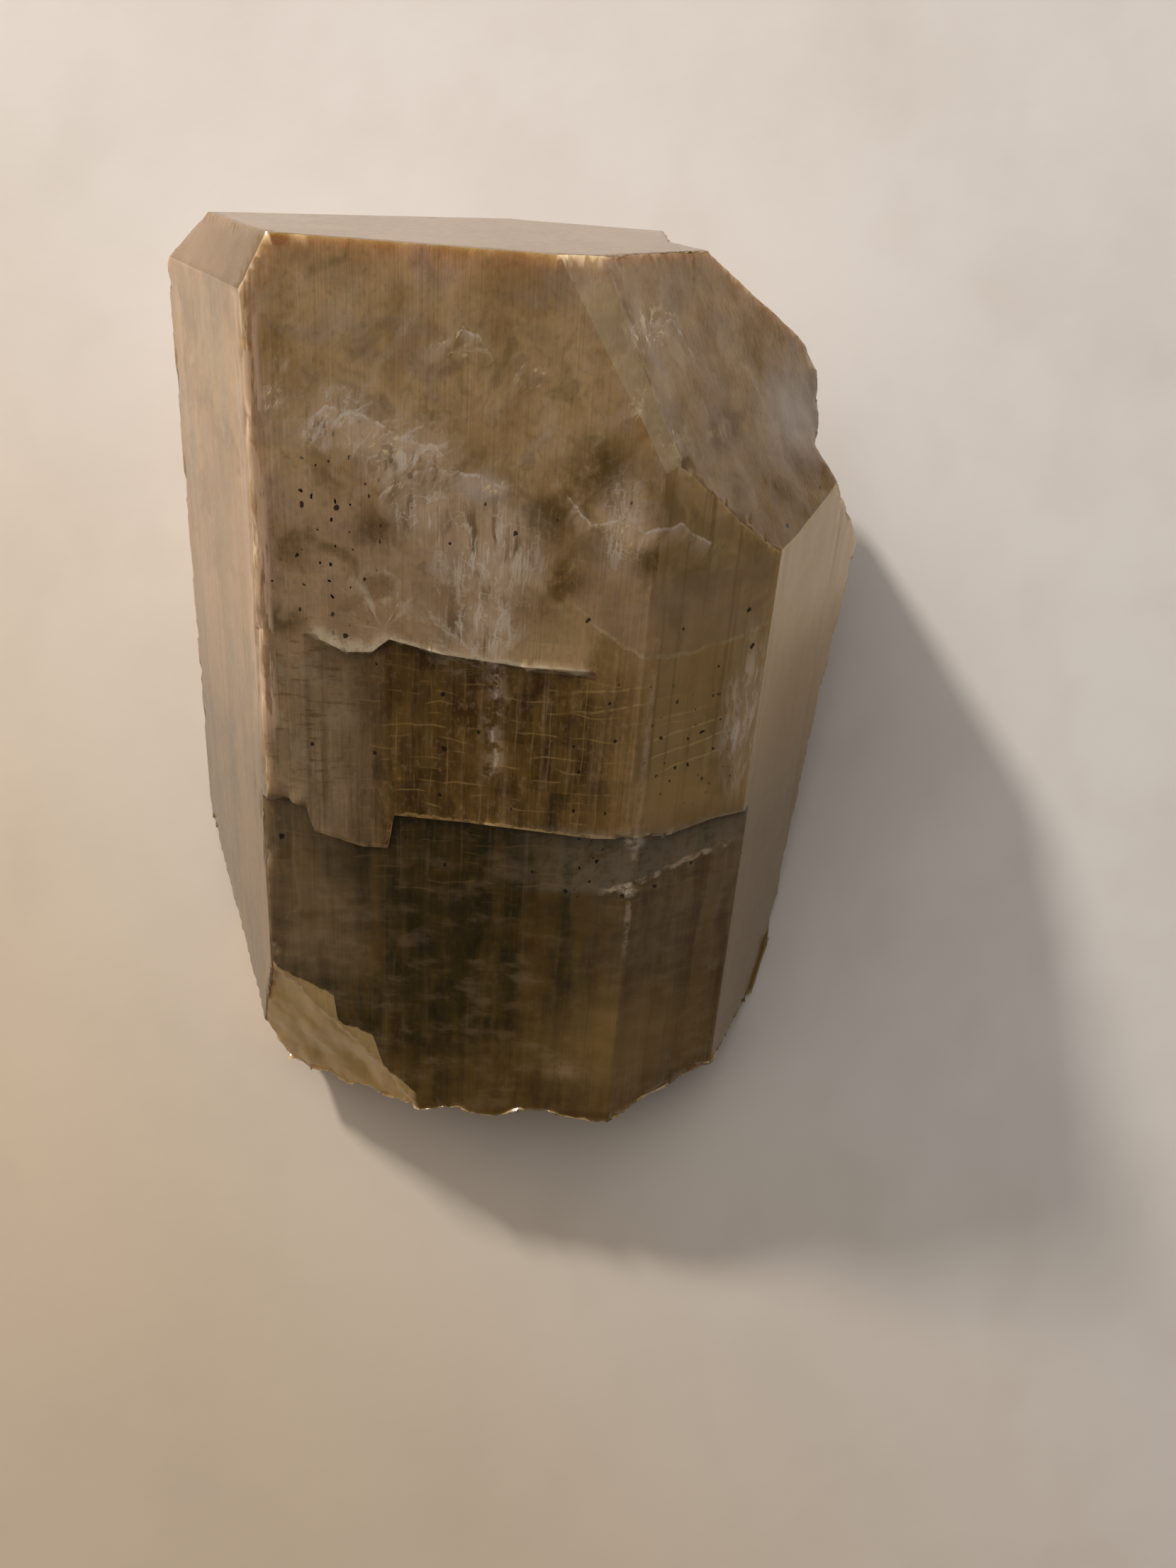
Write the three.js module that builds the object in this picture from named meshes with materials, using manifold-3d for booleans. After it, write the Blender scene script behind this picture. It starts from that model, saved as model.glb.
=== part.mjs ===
// A broken apatite crystal that lies on the oblique break across its back. One grown piece, so one node.
// Millimetres, +Z up, and the break rests on Z = 0. +Y is the level direction that the long axis points to.
// The crystal is first shaped in its own frame, then tipped over onto the break. Its own frame is:
//   x to the right across the front face, y up the long axis, z out of the front face, which lies at z = 0.
import * as THREE from "three";
import { mergeVertices } from "three/addons/utils/BufferGeometryUtils.js";
import Module from "manifold-3d";

// Prism. Azimuths are in degrees about the long axis, from 0 at the front face, positive to the right.
const FRONT_HALF_WIDTH = 9.4; // the front face, up to the narrow second-order face on its right
const NARROW_FACE_WIDTH = 7.3; // the second-order face that takes off the right front edge
const LEFT_EDGE_X = -15.6; // the edge between the left face and the left back face
const BACK_DEPTH = 19.8; // from the front face to the back face
const TOP_Y = 17.3; // the basal end face

// Small facets beside the basal end face. Lean is the angle between a facet's normal and the long axis.
const CORNER_FACET = { azimuth: -60, lean: 64, through: [-8.1, TOP_Y, 0] };
const BACK_FACET = { azimuth: -139, lean: 33, through: [-12.3, TOP_Y, -8.2] };

// Breaks: the outward normal, the middle of the broken area, how far its middle is dished in, and the
// height of its ripples, which run in rings round a point to one side.
const BREAKS = [
  { name: "top", normal: [0.716, 0.444, 0.54], middle: [13, 10.6, -4.4], dish: 0.8, ripple: 0.03 },
  { name: "shoulder", normal: [0.381, 0.236, 0.894], middle: [8, 13.5, -0.7], dish: 0, ripple: 0.02 },
  { name: "right", normal: [0.866, -0.151, -0.5], middle: [21, -10, -12.5], dish: 0.4, ripple: 0.14 },
  { name: "end", normal: [0, -0.9, -0.43], middle: [3, -29.3, -3.5], dish: 0.2, ripple: 0.3 },
  { name: "left end", normal: [-0.91, -0.41, 0.03], middle: [-12.8, -22.8, -6], dish: 0.3, ripple: 0.12 },
  { name: "chip", normal: [-0.299, -0.25, 0.921], middle: [-6.5, -26.5, -1], dish: 0.35, ripple: 0.03 },
];
const DISH_RADIUS = 11;
const RING_SPACING = 3.4;
const RING_CENTRE = [7, -5];
const BREAK_SIZE = 60; // wider than any broken area
const BREAK_CELL = 1.5; // spacing of the points on a broken surface

// Ledges: thin layers missing from a face below a line. Points are (across the face, up the long axis).
// The upper layer thins out to nothing at both sides: at the right because its azimuth is not quite the
// face's, and at the left because a slanting plane, its taper, bounds it.
const LEDGES = [
  {
    name: "upper",
    azimuth: -1.4,
    through: [0, 0, 0],
    depth: 0.17,
    taper: { azimuth: 5, from: -7.2 },
    line: [
      [-8, -0.3], [-6.5, -0.5], [-5.2, -1.1], [-3.9, -1], [-3.1, -0.3], [-0.5, -0.9], [3.6, -1.3], [8, -1.4],
    ],
  },
  {
    name: "lower",
    azimuth: 0,
    through: [0, 0, 0],
    depth: 0.7,
    line: [
      [-30, -9], [-7.4, -9.7], [-7, -11.2], [-4.5, -12.1], [-3.2, -12.1],
      [-2.9, -10.1], [0.8, -10.2], [7.3, -10.6], [30, -9.9],
    ],
  },
  {
    name: "narrow face",
    azimuth: 30,
    through: [FRONT_HALF_WIDTH, 0, 0],
    depth: 0.4,
    line: [[-1, -10.3], [2.4, -10.8], [5.2, -10.4], [30, -10.6]],
  },
];
const LEDGE_BOTTOM = -60; // past the end of the crystal

// The stepped break behind the upper right: its outline across and up, and how it leans back from there.
const STEPPED_BREAK = {
  outline: [
    [9.4, 17.4], [10.9, 16.4], [16.7, 13.6], [17.7, 12.2], [18, 9.2], [17.8, 8.2], [19.5, 6.3], [22.6, 3.2],
  ],
  far: 40,
  pivot: [0, 10, -10],
  lean: -17,
};

// Rest pose: the crystal is turned about its long axis, the axis is raised, and the break is cut level.
const TURN = -4.8;
const RISE = 23.1;
const FRONT_ORIGIN_HEIGHT = 17.3; // the crystal frame's origin above the table

// Hollows in the level break, between the areas that touch the table, and how uneven their outlines are.
const HOLLOWS = [
  { middle: [11, 5], radius: 5.5, depth: 0.9 },
  { middle: [-8, -8], radius: 6, depth: 1.1 },
  { middle: [3.5, -11], radius: 5, depth: 0.8 },
  { middle: [14.5, -12], radius: 5, depth: 1 },
  { middle: [-8.5, 8], radius: 4, depth: 0.6 },
  { middle: [4, 7], radius: 4, depth: 0.5 },
  { middle: [-1.5, -18], radius: 5, depth: 0.9 },
  { middle: [9.5, -4], radius: 3.5, depth: 0.5 },
  { middle: [9, -20], radius: 4, depth: 0.7 },
];
const HOLLOW_UNEVEN = 0.2;

const BIG = 120; // larger than the crystal in every direction

const wasm = await Module();
wasm.setup();

// The manifold solid of a closed three.js geometry.
function solidOf(geometry) {
  const plain = geometry.clone();
  plain.deleteAttribute("normal");
  plain.deleteAttribute("uv");
  const merged = mergeVertices(plain, 1e-4);
  const mesh = new wasm.Mesh({
    numProp: 3,
    vertProperties: new Float32Array(merged.getAttribute("position").array),
    triVerts: new Uint32Array(merged.index.array),
  });
  return new wasm.Manifold(mesh);
}

// The three.js geometry of a manifold solid.
function geometryOf(solid) {
  const mesh = solid.getMesh();
  const geometry = new THREE.BufferGeometry();
  geometry.setAttribute("position", new THREE.BufferAttribute(mesh.vertProperties, mesh.numProp));
  geometry.setIndex(new THREE.BufferAttribute(mesh.triVerts, 1));
  return geometry;
}

// The outward normal of a crystal face. A lean of 90 degrees is a face of the prism.
function faceNormal(azimuth, lean = 90) {
  const around = THREE.MathUtils.degToRad(azimuth);
  const tilt = THREE.MathUtils.degToRad(lean);
  const out = Math.sin(tilt);
  return new THREE.Vector3(Math.sin(around) * out, Math.cos(tilt), Math.cos(around) * out);
}

// Turns a geometry so that its +z points along normal, and moves its origin to a point.
function place(geometry, normal, point) {
  const turn = new THREE.Quaternion().setFromUnitVectors(new THREE.Vector3(0, 0, 1), normal);
  geometry.applyQuaternion(turn);
  geometry.translate(point[0], point[1], point[2]);
  return geometry;
}

// Everything on the outer side of a plane.
function outside(normal, point) {
  const block = new THREE.BoxGeometry(BIG, BIG, BIG);
  block.translate(0, 0, BIG / 2);
  return solidOf(place(block, normal, point));
}

// A block on the +z side of a surface z = relief(x, y).
function reliefBlock(relief) {
  const cells = Math.round(BREAK_SIZE / BREAK_CELL);
  const block = new THREE.BoxGeometry(BREAK_SIZE, BREAK_SIZE, BREAK_SIZE, cells, cells, 1);
  block.translate(0, 0, BREAK_SIZE / 2);
  const position = block.getAttribute("position");
  for (let i = 0; i < position.count; i++) {
    if (position.getZ(i) < BREAK_SIZE / 2) {
      position.setZ(i, relief(position.getX(i), position.getY(i)));
    }
  }
  return block;
}

// The dished, ripple-marked surface of a break, dipping below its plane.
function breakRelief({ dish, ripple }) {
  return (x, y) => {
    const fall = Math.max(0, 1 - (x * x + y * y) / (DISH_RADIUS * DISH_RADIUS));
    const ring = Math.hypot(x - RING_CENTRE[0], y - RING_CENTRE[1]);
    const waver = Math.sin(x / 2.3) + Math.cos(y / 1.9 + x / 5.1);
    return -dish * fall + ripple * Math.sin((2 * Math.PI * ring) / RING_SPACING + waver);
  };
}

// The volume that a break takes away.
function breakCutter(spec) {
  const normal = new THREE.Vector3(...spec.normal).normalize();
  return solidOf(place(reliefBlock(breakRelief(spec)), normal, spec.middle));
}

// The thin layer that a ledge takes away, below its line. With a taper, it starts from nothing at taper.from.
function ledgeCutter({ azimuth, through, depth, taper, line }) {
  const shape = new THREE.Shape();
  shape.moveTo(line[0][0], LEDGE_BOTTOM);
  for (const [across, up] of line) {
    shape.lineTo(across, up);
  }
  shape.lineTo(line[line.length - 1][0], LEDGE_BOTTOM);
  shape.closePath();
  const layer = new THREE.ExtrudeGeometry(shape, { depth: BIG, bevelEnabled: false });
  layer.translate(0, 0, -depth);
  layer.rotateY(THREE.MathUtils.degToRad(azimuth));
  layer.translate(through[0], through[1], through[2]);
  const cutter = solidOf(layer);
  return taper ? cutter.intersect(outside(faceNormal(taper.azimuth), [taper.from, 0, 0])) : cutter;
}

// The volume that the stepped break takes away, above and to the right of its outline.
function steppedCutter({ outline, far, pivot, lean }) {
  const shape = new THREE.Shape();
  shape.moveTo(outline[0][0], far);
  for (const [across, up] of outline) {
    shape.lineTo(across, up);
  }
  shape.lineTo(far, outline[outline.length - 1][1]);
  shape.lineTo(far, far);
  shape.closePath();
  const block = new THREE.ExtrudeGeometry(shape, { depth: BIG, bevelEnabled: false });
  block.translate(-pivot[0], -pivot[1], -BIG / 2);
  block.rotateX(THREE.MathUtils.degToRad(lean));
  block.translate(pivot[0], pivot[1], pivot[2]);
  return solidOf(block);
}

// The faces that bound the unbroken crystal, each as an outward normal and a point on it.
function crystalFaces() {
  const narrow = THREE.MathUtils.degToRad(30);
  const rightEdgeX = FRONT_HALF_WIDTH + NARROW_FACE_WIDTH * Math.cos(narrow);
  const rightEdgeZ = -NARROW_FACE_WIDTH * Math.sin(narrow);
  const leftEdgeZ = (LEFT_EDGE_X + FRONT_HALF_WIDTH) * Math.tan(THREE.MathUtils.degToRad(60));
  return [
    [faceNormal(0), [0, 0, 0]],
    [faceNormal(30), [FRONT_HALF_WIDTH, 0, 0]],
    [faceNormal(60), [rightEdgeX, 0, rightEdgeZ]],
    [faceNormal(-60), [-FRONT_HALF_WIDTH, 0, 0]],
    [faceNormal(-120), [LEFT_EDGE_X, 0, leftEdgeZ]],
    [faceNormal(180), [0, 0, -BACK_DEPTH]],
    [faceNormal(0, 0), [0, TOP_Y, 0]],
    [faceNormal(CORNER_FACET.azimuth, CORNER_FACET.lean), CORNER_FACET.through],
    [faceNormal(BACK_FACET.azimuth, BACK_FACET.lean), BACK_FACET.through],
  ];
}

// The crystal in its own frame, with its breaks and ledges but not yet its level base.
function shapedCrystal() {
  let crystal = solidOf(new THREE.BoxGeometry(BIG, BIG, BIG));
  for (const [normal, point] of crystalFaces()) {
    crystal = crystal.subtract(outside(normal, point));
  }
  for (const ledge of LEDGES) {
    crystal = crystal.subtract(ledgeCutter(ledge));
  }
  for (const spec of BREAKS) {
    crystal = crystal.subtract(breakCutter(spec));
  }
  return crystal.subtract(steppedCutter(STEPPED_BREAK));
}

// How far the level break is hollowed above the table, and 0 where it touches the table.
function baseHollow(x, y) {
  let height = 0;
  for (const { middle, radius, depth } of HOLLOWS) {
    const [dx, dy] = [x - middle[0], y - middle[1]];
    const edge = radius * (1 + HOLLOW_UNEVEN * Math.sin(3 * Math.atan2(dy, dx) + middle[0]));
    const fall = Math.max(0, 1 - (dx * dx + dy * dy) / (edge * edge));
    height = Math.max(height, depth * fall);
  }
  return height;
}

// Everything below the table, with the base's hollows standing up from it.
function tableCutter() {
  const block = reliefBlock((x, y) => -baseHollow(x, -y));
  block.rotateX(Math.PI);
  return solidOf(block);
}

// The crystal tipped onto its break, with the middle of its base at the origin.
function restingCrystal() {
  const tipped = geometryOf(shapedCrystal());
  tipped.rotateY(THREE.MathUtils.degToRad(TURN));
  tipped.rotateX(THREE.MathUtils.degToRad(RISE));
  tipped.translate(0, 0, FRONT_ORIGIN_HEIGHT);
  const resting = geometryOf(solidOf(tipped).subtract(tableCutter()));
  resting.computeBoundingBox();
  const middle = resting.boundingBox.getCenter(new THREE.Vector3());
  resting.translate(-middle.x, -middle.y, -resting.boundingBox.min.z);
  return resting;
}

const apatite = new THREE.MeshStandardMaterial({ color: 0x7c6444, roughness: 0.28, metalness: 0 });
const crystal = new THREE.Mesh(restingCrystal(), apatite);
crystal.name = "apatite_crystal";

const specimen = new THREE.Group();
specimen.add(crystal);

export default specimen;
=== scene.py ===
import math

import bmesh
import bpy
import numpy as np
from mathutils import Matrix, Vector
from mathutils.kdtree import KDTree


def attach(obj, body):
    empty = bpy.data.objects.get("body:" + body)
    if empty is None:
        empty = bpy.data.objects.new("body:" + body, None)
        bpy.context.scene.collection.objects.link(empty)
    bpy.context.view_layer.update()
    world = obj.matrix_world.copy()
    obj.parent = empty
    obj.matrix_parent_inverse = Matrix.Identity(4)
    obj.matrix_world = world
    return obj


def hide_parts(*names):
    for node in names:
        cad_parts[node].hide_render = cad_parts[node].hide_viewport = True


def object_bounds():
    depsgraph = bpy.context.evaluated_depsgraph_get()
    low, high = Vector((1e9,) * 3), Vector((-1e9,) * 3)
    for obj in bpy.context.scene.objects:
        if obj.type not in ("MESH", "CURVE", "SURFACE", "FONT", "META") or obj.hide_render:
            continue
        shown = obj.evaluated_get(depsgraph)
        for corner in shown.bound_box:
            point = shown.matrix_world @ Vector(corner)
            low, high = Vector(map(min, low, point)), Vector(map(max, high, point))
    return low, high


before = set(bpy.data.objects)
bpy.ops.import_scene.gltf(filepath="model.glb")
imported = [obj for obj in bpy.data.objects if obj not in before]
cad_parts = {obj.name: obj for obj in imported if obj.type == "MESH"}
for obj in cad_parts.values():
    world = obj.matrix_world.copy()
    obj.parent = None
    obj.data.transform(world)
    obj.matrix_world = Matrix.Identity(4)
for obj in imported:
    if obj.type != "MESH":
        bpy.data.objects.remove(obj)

CAD_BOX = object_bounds()
NODE = "apatite_crystal"

# ---------------------------------------------------------------- the crystal's own frame
# The crystal frame is in millimetres: x across the front face, y up the long axis, z out of the front
# face, with its origin on that face. The CAD model is that frame turned, raised and set on the table.
TURN = math.radians(-4.8)
RISE = math.radians(23.1)
CRYSTAL_ORIGIN = Vector((-0.0042517, 0.0023614, 0.0173))
MM = 0.001
POSE_TURN = Matrix.Rotation(RISE, 4, "X") @ Matrix.Rotation(TURN, 4, "Y")
POSE = Matrix.Translation(CRYSTAL_ORIGIN) @ POSE_TURN @ Matrix.Scale(MM, 4)

# Faces of the crystal: azimuth about the long axis from the front face, and lean from the long axis.
ZONES = {
    "front": (0, 90),
    "narrow": (30, 90),
    "right": (60, 90),
    "left": (-60, 90),
    "left_back": (-120, 90),
    "back": (180, 90),
    "basal": (0, 0),
    "corner": (-60, 64),
    "back_facet": (-139, 33),
    "shoulder": (23.1, 76.3),
}
ZONE_NUMBER = {name: number for number, name in enumerate(ZONES)}
BROKEN = len(ZONES)
LEDGE = BROKEN + 1
ZONE_COSINE = 0.995
LEDGE_BOX = ((-8, 17), (-16, 3))  # broken faces within these x and y are the steps of the ledges

# Lines across the front faces, as (across, up the axis). Below each ledge a thin layer is missing.
UPPER_LEDGE = ((-8, -0.3), (-6.5, -0.5), (-5.2, -1.1), (-3.9, -1), (-3.1, -0.3), (-0.5, -0.9), (3.6, -1.3),
               (8, -1.4))
LOWER_LEDGE = ((-9.6, -9.3), (-7.4, -9.6), (-7, -11.2), (-4.5, -12.1), (-3.2, -12.1), (-2.9, -10.1),
               (0.8, -10.2), (4.3, -10.5), (7.3, -10.6), (9.8, -10.5), (12.5, -10.7), (15, -10.4),
               (17, -10.5))
FLAKE_LINE = ((5.4, 2.4), (6.8, 1.0), (9.0, -0.3), (11.5, -0.5), (14.2, 0.1), (17, 1.2))
CHIP_LINE = ((-9.7, -20.2), (-9.1, -20.7), (-6.4, -22.2), (-6.2, -24.0), (-4.2, -25.0), (-3.6, -27.2),
             (-1.5, -29.3))
SCUFF_LINE = ((7.9, -14.6), (9.5, -13.9), (12, -13.3), (14.6, -12.7), (17, -12.4))
LINE_RANGE = (-32.0, 20.0)  # the lowest and highest a line may reach

# Places on the front faces, each as its centre and radii across and up. GLINTS are where painted glints and
# their painted glow go.
GLINTS = (((-0.1, 13.6), (1.3, 1.0)), ((8.1, 14.4), (1.7, 1.2)), ((3.1, 12.3), (1.0, 0.7)),
          ((7.9, 11.6), (0.6, 1.0)), ((9.2, 10.1), (0.9, 0.7)), ((-7.8, 12.0), (0.9, 0.5)),
          ((-8.2, 10.6), (0.8, 0.8)), ((-3.4, 8.9), (2.2, 0.8)), ((1.6, 7.4), (1.1, 0.5)),
          ((-2.8, 7.2), (1.2, 0.7)), ((-3.2, 1.7), (1.0, 0.7)), ((7.8, 5.6), (0.5, 1.3)))
VEILS = (((-5.0, 9.8), (3.4, 2.2)), ((-2.2, 8.6), (3.2, 2.4)), ((-1.6, 6.2), (2.0, 2.2)),
         ((1.5, 4.4), (3.6, 4.2)), ((1.4, 0.6), (2.6, 2.4)), ((7.6, 6.0), (1.6, 3.4)))
DARK_POOLS = (((6.5, 8.3), (3.0, 2.6)), ((4.2, 5.8), (1.5, 2.2)), ((5.2, 3.2), (1.6, 1.5)),
              ((0.3, 0.6), (1.5, 1.3)), ((9.2, 4.4), (2.0, 1.4)), ((-3.6, 5.1), (1.7, 1.5)),
              ((12.1, 9.7), (1.6, 1.6)), ((-8.1, 0.3), (1.5, 1.2)))
# Upper borders of healed cracks, and how far down the milky film below each one reaches.
CRACKS = ((((-6.6, 9.9), (-5.8, 10.5), (-4.2, 10.3), (-2.4, 9.3), (-1.1, 9.1), (-0.2, 8.3)), 2.4),
          (((-3.6, 6.6), (-2.6, 7.5), (-1.4, 8.1), (0.6, 8.0), (2.2, 7.5)), 1.5),
          (((4.9, 7.4), (6.2, 6.0), (7.4, 6.3), (8.6, 5.9), (10.2, 6.2), (12.4, 4.9)), 1.4),
          (((6.4, 13.4), (7.6, 14.9), (9.2, 14.6), (10.4, 13.2)), 1.9),
          (((-1.4, 13.2), (-0.4, 14.3), (0.8, 13.9), (1.4, 13.0)), 1.7))
BUBBLE_RIM = ((-3.6, 2.3), (1.3, 1.05), 0.35)
BUBBLE_HOLE = ((-3.6, 2.3), (0.95, 0.8), 0.4)
# Fans of fine lines: the point they leave, the region they fill, and their strength.
FANS = (((1.7, -1.6), ((0.9, 1.2), (3.6, 4.0), 0.9), 0.70),
        ((-3.4, 0.2), ((-3.6, 1.6), (2.4, 2.6), 0.9), 0.50))
# Single regions: centre, radii, and the share of the radius that fades.
BLUISH_VEIL = ((1.1, 7.3), (1.8, 1.0), 0.9)
CLOUDED_LEFT = ((-7.0, -4.2), (3.4, 7.0), 0.6)
GILDED_PLACE = ((11.9, -5.3), (2.6, 2.2), 0.35)
GILDED_BROAD = ((8.5, -2.8), (4.5, 1.8), 0.8)
FROSTED_CORNER = ((14.9, -4.4), (1.7, 6.2), 0.9)
# Two painted white highlights near the lower ledge.
WHITE_HIGHLIGHTS = (((9.7, -11.0), (0.8, 0.7), 0.7), ((9.6, -14.1), (0.7, 0.6), 0.7))
LOW_BLOB = ((6.9, -26.8), (1.6, 1.2), 0.9)
GRAINS_LEFT = ((-5.6, 4.6), (3.4, 6.3), 0.7)
GRAINS_LOW = ((6.9, -12.4), (1.8, 3.0), 0.6)
GRAINS_RIGHT = ((12.0, -5.5), (3.2, 5.0), 0.6)
CHIP_PLACE = ((-7.5, -26.5), (8.5, 6.8), 0.15)
# Painted amber glows of lamp light shining through the crystal: region and strength.
GLOWS = ((((10.5, -25.0), (7.0, 6.5), 0.9), 0.40),
         (((12.0, -8.4), (3.8, 2.8), 0.9), 0.50),
         (((12.0, -2.0), (4.0, 5.0), 0.9), 0.22))
# Regions away from the front faces: centre and radii across, up and out.
# A painted orange glow of lamp light shining through the crystal onto its right face.
RIGHT_GLOW_PLACE = ((18, -6, -9), (5, 7, 5), 0.9)
# A painted bluish reflection on the break behind the upper right.
BLUISH_REFLECTION = ((17.0, 10.5, -8), (3.8, 4.2, 6), 0.9)
THROUGH = 60  # a radius that reaches right through the crystal
SLANT = math.radians(38)
VEIN_X = 2.1  # how far right of the middle the upright crack runs
VEIN_SPAN = (-6.5, 5.0, 1.5)  # how far it reaches up: from, to, and the width of the fade
BLOCK_SIZES = ((2.3, 1.8), (1.0, 2.7))  # width and height of the blocks between parting lines

# Regions with level and upright sides: (from, to, width of the fade) across, and the same up.
CLEAR_BLOCK = ((-4.2, 8.0, 0.8), (-9.8, -2.0, 0.8))
WIDE_BLOCK = ((-8.8, 14.5, 0.8), (-14.5, 4.0, 1.5))
WIDE_SHARE = 0.45  # how strong the parting lines and blocks are in the wide block
SEAM = ((9.7, 9.8, 0.22), (-17.0, 0.0, 2.0))
LEFT_SHORE = ((-9.8, -8.8, 0.30), (-4.0, 14.0, 3.0))
# How far marks reach across the front faces: from, to, and the width of the fade.
UPPER_SPAN = (-6.4, 6.2, 0.6)
SHARP_SPAN = (-6.2, 6.0, 0.8)
FLAKE_SPAN = (6.6, 15.0, 1.5)
SCUFF_SPAN = (8.6, 15.0, 0.8)
# Evenly spaced lines: spacing and half width.
LEVEL_LINES = (0.62, 0.06)
UPRIGHT_LINES = (0.85, 0.05)
GILDED_LINES = (1.05, 0.09)
FINER_LINES = (0.6, 0.05)
# Dark grains: cells per millimetre across and up, rough grain radius, share of cells with a grain.
GRAINS = ((1.35, 1.05), 0.11, 0.62)
FEW_GRAINS = ((0.6, 0.5), 0.07, 0.3)

# ---------------------------------------------------------------- noise patterns
RAGGED_HEIGHT = 0.7
THREADS = ((0.45, 0.35, 0.45), 0.014, 4, 0.1)  # fineness, width, detail, distortion
# Stirring of the coordinates: its fineness, how far it moves points, and its seed where that is not 0.
STIRRED = ((0.4, 0.4, 0.4), 3.5)
COMBED = ((0.35, 0.35, 0.35), 2.5, 9.0)
WHIRLED = ((0.8, 0.8, 0.8), 1.8, 4.0)
SWAYED = ((0.5, 0.3, 0.5), 1.1, 7.0)
BENT_RAYS = ((0.7, 0.7, 0.7), 1.2)
WAVY_BLOCKS = ((1.2, 1.2, 1.2), 0.35, 12.0)
LOOSE_GRAINS = ((3.0, 3.0, 3.0), 0.30, 8.0)
ROUGH_RING = ((1.4, 1.4, 1.4), 0.7, 2.0)
# Each pattern: its fineness across, up and into the crystal, then its detail and roughness.
PATTERNS = {
    "streaks": ((2.2, 0.05, 2.2), 4, 0.6),
    "fine streaks": ((7.0, 0.12, 7.0), 3, 0.6),
    "ragged": ((1.3, 0.3, 1.3), 4, 0.6),
    "tone": ((0.30, 0.24, 0.30), 3, 0.5),
    "fine": ((0.9, 0.40, 0.9), 4, 0.6),
    "broad": ((0.30, 0.34, 0.30), 3, 0.5),
    "wisps": ((0.8, 0.42, 0.8), 4, 0.55),
    "flames": ((0.8, 0.20, 0.8), 3, 0.5),
    "clumps": ((0.55, 0.38, 0.55), 4, 0.6),
    "gaps": ((1.7, 0.28, 1.7), 3, 0.55),
    "upright fibres": ((3.2, 0.40, 3.2), 4, 0.6),
    "slanting fibres": ((2.6, 0.5, 2.6), 4, 0.6),
    "torn": ((1.6, 0.5, 1.6), 4, 0.6),
    "sway": ((0.3, 0.5, 0.3), 4, 0.6),
    "broken vein": ((1.4, 1.3, 1.4), 4, 0.65),
    "rays": ((1.0, 0.45, 1.0), 4, 0.65),
    "patchy": ((0.9, 0.16, 0.9), 3, 0.6),
    "curtains": ((0.9, 0.07, 0.9), 3, 0.5),
    "smudges": ((0.45, 0.9, 0.45), 4, 0.6),
    "grit": ((4.0, 2.4, 4.0), 2, 0.6),
    "cloudy": ((0.4, 0.18, 0.4), 3, 0.5),
    "wavy": ((0.35, 0.35, 0.35), 2),
    "level pieces": ((0.5, 1.7, 0.5), 2),
    "upright pieces": ((1.8, 0.28, 1.8), 2),
    "dashes": ((0.8, 3.2, 0.8), 3, 0.6),
    "puffs": ((0.7, 0.5, 0.7), 4, 0.6),
    "crumbs": ((1.8, 1.8, 1.8), 4, 0.65),
    "patches": ((1.2, 0.8, 1.2), 4, 0.65),
    "frost": ((2.4, 0.42, 2.4), 4, 0.65),
    "slivers": ((2.4, 0.30, 2.4), 4, 0.6),
    "caught": ((1.3, 1.3, 1.3), 3),
    "glint_flecks": ((3.4, 1.3, 3.4), 3, 0.6),
    "gleam": ((1.8, 0.7, 1.8), 4, 0.6),
    "soft": ((0.3, 0.1, 0.3), 3, 0.5),
    "smear": ((0.2, 0.2, 0.5), 3, 0.6),
    "pitted": ((1.5, 1.5, 1.5), 4, 0.6),
}

# ---------------------------------------------------------------- mesh
CELL_ACROSS = 0.25
CELL_ALONG = 0.5
MERGE = 1e-3
CUT_TOLERANCE = 1e-4
SHARP_ANGLE = math.radians(32)
ROUGH = ((5.0, 0.20), (2.0, 0.11), (0.9, 0.05))  # wave length and height on broken surfaces
SMOOTH_BREAK_Y = (-2.0, 4.0)  # breaks above this are glassy
SMOOTH_SHARE = 0.3
STRIAE = {"front": 0.04, "narrow": 0.07, "right": 0.10, "left": 0.05, "left_back": 0.08, "back": 0.08}
STRIAE_SPACINGS = (2.6, 1.1, 0.55)
STRIAE_REACH = 40
STRIAE_SEED = 20
DRIFT = 0.25  # how far the grooves wander sideways
DRIFT_STRETCH = (1, 0.25, 1)
DRIFT_WAVES = (3.0, 5)  # wave length and seed
ROUGH_SEED = 40
WEAR_ANGLE = math.radians(38)  # edges sharper than this are chipped
WEAR_LEAST = 0.06
WEAR_MOST = 0.45
WEAR_WAVES = ((3.2, 70), (1.3, 71))  # wave lengths and seeds of the chipping
WEAR_FADE_Y = (12, 16)  # the edges of the end face are crisp
WEAR_AT_END = 0.2
WEAR_SLOPE = 0.5

# ---------------------------------------------------------------- camera and light
CAMERA_AT = Vector((-0.003913, 0.000476, 0.077396))
CAMERA_RIGHT = Vector((0.99418, 0.03348, 0.10242))
CAMERA_UP = Vector((-0.0248, 0.99608, -0.08489))
VIEW_ANGLE = math.radians(64.6)
LAMP_AT = Vector((-0.182, 0.258, 0.129))
LAMP_SIZE = 0.028
LAMP_WATTS = 1.22
ROOM_SIDE = Vector((-0.45, 0.88, 0.15)).normalized()  # the bright side of the room
ROOM_DARK = 0.05
ROOM_BRIGHT = 1.32
ROOM_FADE = (-0.1, 1.0)  # cosines from the bright side between which the room brightens
CLIP_START = 0.001
FLOOR_SIZE = 3

# ---------------------------------------------------------------- shader of the crystal
APATITE_IOR = 1.63
GLOSS_LEAST = 0.10  # roughness between the growth streaks
GLOSS_CHANGE = 0.18
GLOSS_WORN = 0.7
BUMP_HEIGHT = 0.00002
BUMP_STRENGTH = 0.6
GLOW_WEIGHT = 0.25  # light that scatters below the surface
GLOW_RADIUS = (1.0, 0.6, 0.3)
GLOW_SCALE = 0.002

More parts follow.
